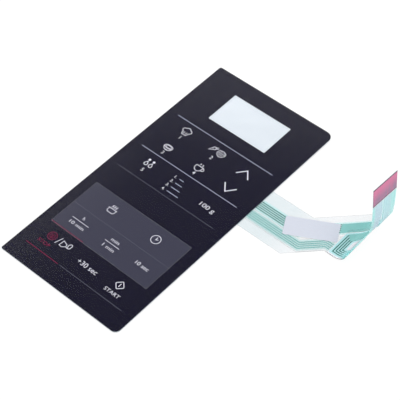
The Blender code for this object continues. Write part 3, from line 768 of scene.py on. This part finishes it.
thaw = Pictogram("sign_thaw", 23.1, 111.9)
for x in (-1.9, 1.9):
    thaw.dot((x, 2.3), 0.95)
    drop = [(x, 0.7), *arc((x, -1.7), 1.25, 35, -215)]
    thaw.line(*drop, width=0.5, closed=True)
thaw.inked()

# %% [markdown]
# ## Pictograms of the lower keys
#
# The grey field holds a cooking pot, a clock and two fraction bars. Below it are the red stop
# sign, a slash, a plug for the saving mode and a diamond for the start.

# %% Lower keys
pan = Pictogram("sign_pan", 32.0, 67.6)
bowl = [(-2.9, 0.4), (-2.9, -1.9), (-2.1, -2.9), (2.1, -2.9), (2.9, -1.9), (2.9, 0.4)]
pan.line(*bowl, closed=True)
pan.line((-3.6, 0.4), (-2.9, 0.4), width=0.45)
pan.line((2.9, 0.4), (3.6, 0.4), width=0.45)
for x in (-1.5, 0.0, 1.5):
    pan.line((x - 0.5, 1.2), (x + 0.3, 2.1), (x - 0.3, 2.6), (x + 0.5, 3.5), width=0.42)
pan.inked()

clock = Pictogram("sign_clock", 69.6, 67.8)
clock.line(*ring((0, 0), 3.3), closed=True, width=0.45)
clock.line((0, 2.0), (0, -0.2), (1.5, 0.6), width=0.5)
clock.inked()

Pictogram("bar_hours", 23.5, 47.1).line((-7.2, 0), (7.2, 0), width=0.35).inked()
Pictogram("bar_minutes", 51.4, 47.1).line((-6.1, 0), (6.1, 0), width=0.35).inked()

stop = Pictogram("sign_stop", 18.1, 27.5)
stop.line(*ring((0, 0), 3.1), closed=True)
stop.line((0, 1.5), (0, -1.5), width=0.6)
stop.line(*arc((0, 0), 1.7, 60, -240), width=0.4)
stop.inked(red_ink, "red_ink")

Pictogram("slash", 23.8, 27.5).line((-1.0, -3.0), (1.0, 3.0), width=0.45).inked()

plug = Pictogram("sign_plug", 30.0, 27.4)
plug.line((-3.4, 2.1), (-3.8, -2.1), (-1.6, -2.4), (0.6, -0.6), (0.2, 1.0), closed=True)
plug.line((0.6, -0.6), (2.0, -1.0), width=0.45)
socket = [(1.9, -1.0), (1.4, 1.6), (2.2, 2.8), (3.3, 2.9), (3.9, 1.6), (3.5, -0.6)]
plug.line(*socket, closed=True, width=0.45)
plug.inked()

start = Pictogram("sign_start", 77.1, 27.4)
TIP, CORNER_SHARE = 3.4, 0.09375
tips = [(TIP, 0), (0, TIP), (-TIP, 0), (0, -TIP)]
outline = []
for i, tip in enumerate(tips):
    for neighbour in (tips[i - 1], tips[(i + 1) % len(tips)]):
        moved = [a * (1 - CORNER_SHARE) + b * CORNER_SHARE for a, b in zip(tip, neighbour)]
        outline.append(tuple(moved))
start.line(*outline, closed=True, width=0.5)
start.line((0, -1.4), (0, 1.4), width=0.5)
start.inked()

# %% [markdown]
# ## Numbers
#
# The keys carry plain numbers with their units, and the start and stop keys their plain words.
# A text object gives clean outlines. It is turned into a mesh, because its height and width are
# then fitted to the place on the key, whatever the font's own proportions are.

# %% Lettering
STROKE_OFFSET = 0.002
WELD = 1e-7


def lettering(name, words, x, y, height, width=None, finish=None):
    """Words of a given height in millimetres, centred on a point of the face."""
    text = bpy.data.objects.new(name, bpy.data.curves.new(name, "FONT"))
    text.data.body = words
    text.data.offset = STROKE_OFFSET
    bpy.context.scene.collection.objects.link(text)
    bpy.context.view_layer.update()
    solved = text.evaluated_get(bpy.context.evaluated_depsgraph_get())
    shape = bpy.data.meshes.new_from_object(solved)
    bpy.data.objects.remove(text)
    bm = bmesh.new()
    bm.from_mesh(shape)
    bpy.data.meshes.remove(shape)
    xs, ys = [v.co.x for v in bm.verts], [v.co.y for v in bm.verts]
    rise = height / (max(ys) - min(ys))
    spread = width / (max(xs) - min(xs)) if width else rise
    middle = ((max(xs) + min(xs)) / 2, (max(ys) + min(ys)) / 2)
    for vert in bm.verts:
        near = (x + (vert.co.x - middle[0]) * spread, y + (vert.co.y - middle[1]) * rise)
        vert.co = (*on_face(*near), rule_low.z)
    bmesh.ops.remove_doubles(bm, verts=bm.verts[:], dist=WELD)
    thickened(bm, INK_THICKNESS)
    placed(name, bm, finish or legend_ink)


print("stroke offset", STROKE_OFFSET)

# %% Numbers and plain words
lettering("number_weight", "100 g", 76.9, 107.8, 4.4, 11.8)
lettering("number_half_minute", "+30 sec", 52.0, 24.6, 3.6, 16.4)
lettering("number_ten_seconds", "10 sec", 77.3, 47.1, 2.9, 10.6)
lettering("number_hours", "h", 23.6, 50.4, 2.5)
lettering("number_ten_minutes", "10 min", 23.5, 43.7, 2.6, 12.0)
lettering("number_minutes", "min", 51.4, 50.2, 2.5, 6.4)
lettering("number_one_minute", "1 min", 51.4, 43.7, 2.6, 9.4)
lettering("word_start", "START", 77.1, 20.3, 2.6, 12.2)
lettering("word_stop", "STOP", 17.6, 20.4, 2.5, 9.8, red_ink)

PROGRAMMES = [(22.9, 142.0), (50.6, 142.0), (23.0, 124.7), (50.6, 124.7), (23.1, 105.0)]
for figure, (x, y) in enumerate(PROGRAMMES, 1):
    lettering(f"programme_{figure}", str(figure), x, y, 2.9)

LIST_TOP, LIST_PITCH, LIST_LEFT = 114.4, 4.15, 44.4
BAR_GAP, SHORTEST_BAR, BAR_STEP = 3, 3.6, 2.0
for row in range(4):
    y = LIST_TOP - row * LIST_PITCH
    lettering(f"list_{row + 1}", f"{row + 1}.", LIST_LEFT, y, 2.3)
    length = SHORTEST_BAR + BAR_STEP * row
    bar = Pictogram(f"portion_{row + 1}", LIST_LEFT + BAR_GAP, y)
    bar.line((0, 0), (length, 0), width=0.45).inked(rule_ink)

# %% [markdown]
# ## Green blocks on the tail
#
# Just before the curl, both bundles of tracks vanish under blocks of thick green insulation. The
# blocks are thin patches that follow what is below them, up into the curl. A flat patch would sink
# into the curved film, so a ray is cast straight down onto the CAD layers at each point of a
# grid, and the patch stays seated if a layer changes.

# %% Patches that follow a surface
PATCH_THICKNESS = 0.00002
PATCH_GAP = 0.00001
PATCH_STEPS = 24
PATCH_ROWS = 6
PROBE_HEIGHT = 9 * MM


def surface_height(x, y, trees):
    """The highest of the given layers straight below a point of the tail."""
    start = Vector((x, y, PROBE_HEIGHT))
    hits = [tree.ray_cast(start, Vector((0, 0, -1)))[0] for tree in trees]
    return max(hit.z for hit in hits if hit)


def patch(name, near_edge, far_edge, layers):
    """A thin printed patch that follows the layers; each edge runs from the block's start."""
    tool = bpy.context.evaluated_depsgraph_get()
    trees = [BVHTree.FromObject(nodes[layer], tool) for layer in layers]
    bm = bmesh.new()
    rungs = []
    for i in range(PATCH_STEPS + 1):
        share = i / PATCH_STEPS
        near, far = [Vector(a).lerp(Vector(b), share) for a, b in (near_edge, far_edge)]
        places = [on_face(*near.lerp(far, j / PATCH_ROWS)) for j in range(PATCH_ROWS + 1)]
        heights = [surface_height(*place, trees) + PATCH_GAP for place in places]
        rungs.append([bm.verts.new((*place, z)) for place, z in zip(places, heights)])
    for first, second in zip(rungs, rungs[1:]):
        for j in range(PATCH_ROWS):
            bm.faces.new((first[j], second[j], second[j + 1], first[j + 1]))
    thickened(bm, PATCH_THICKNESS)
    placed(name, bm, green)


print("patches have", PATCH_STEPS * PATCH_ROWS, "faces a side")

# %% Green blocks
patch(
    "lower_green_block",
    ((153.6, 147.0), (168.6, 163.0)), ((150.4, 154.1), (166.2, 170.4)),
    ["lower_circuit_film", "lower_insulation"],
)
patch(
    "upper_green_block",
    ((163.0, 145.6), (169.4, 152.6)), ((158.9, 149.5), (168.0, 159.3)),
    ["upper_circuit_film", "upper_insulation"],
)
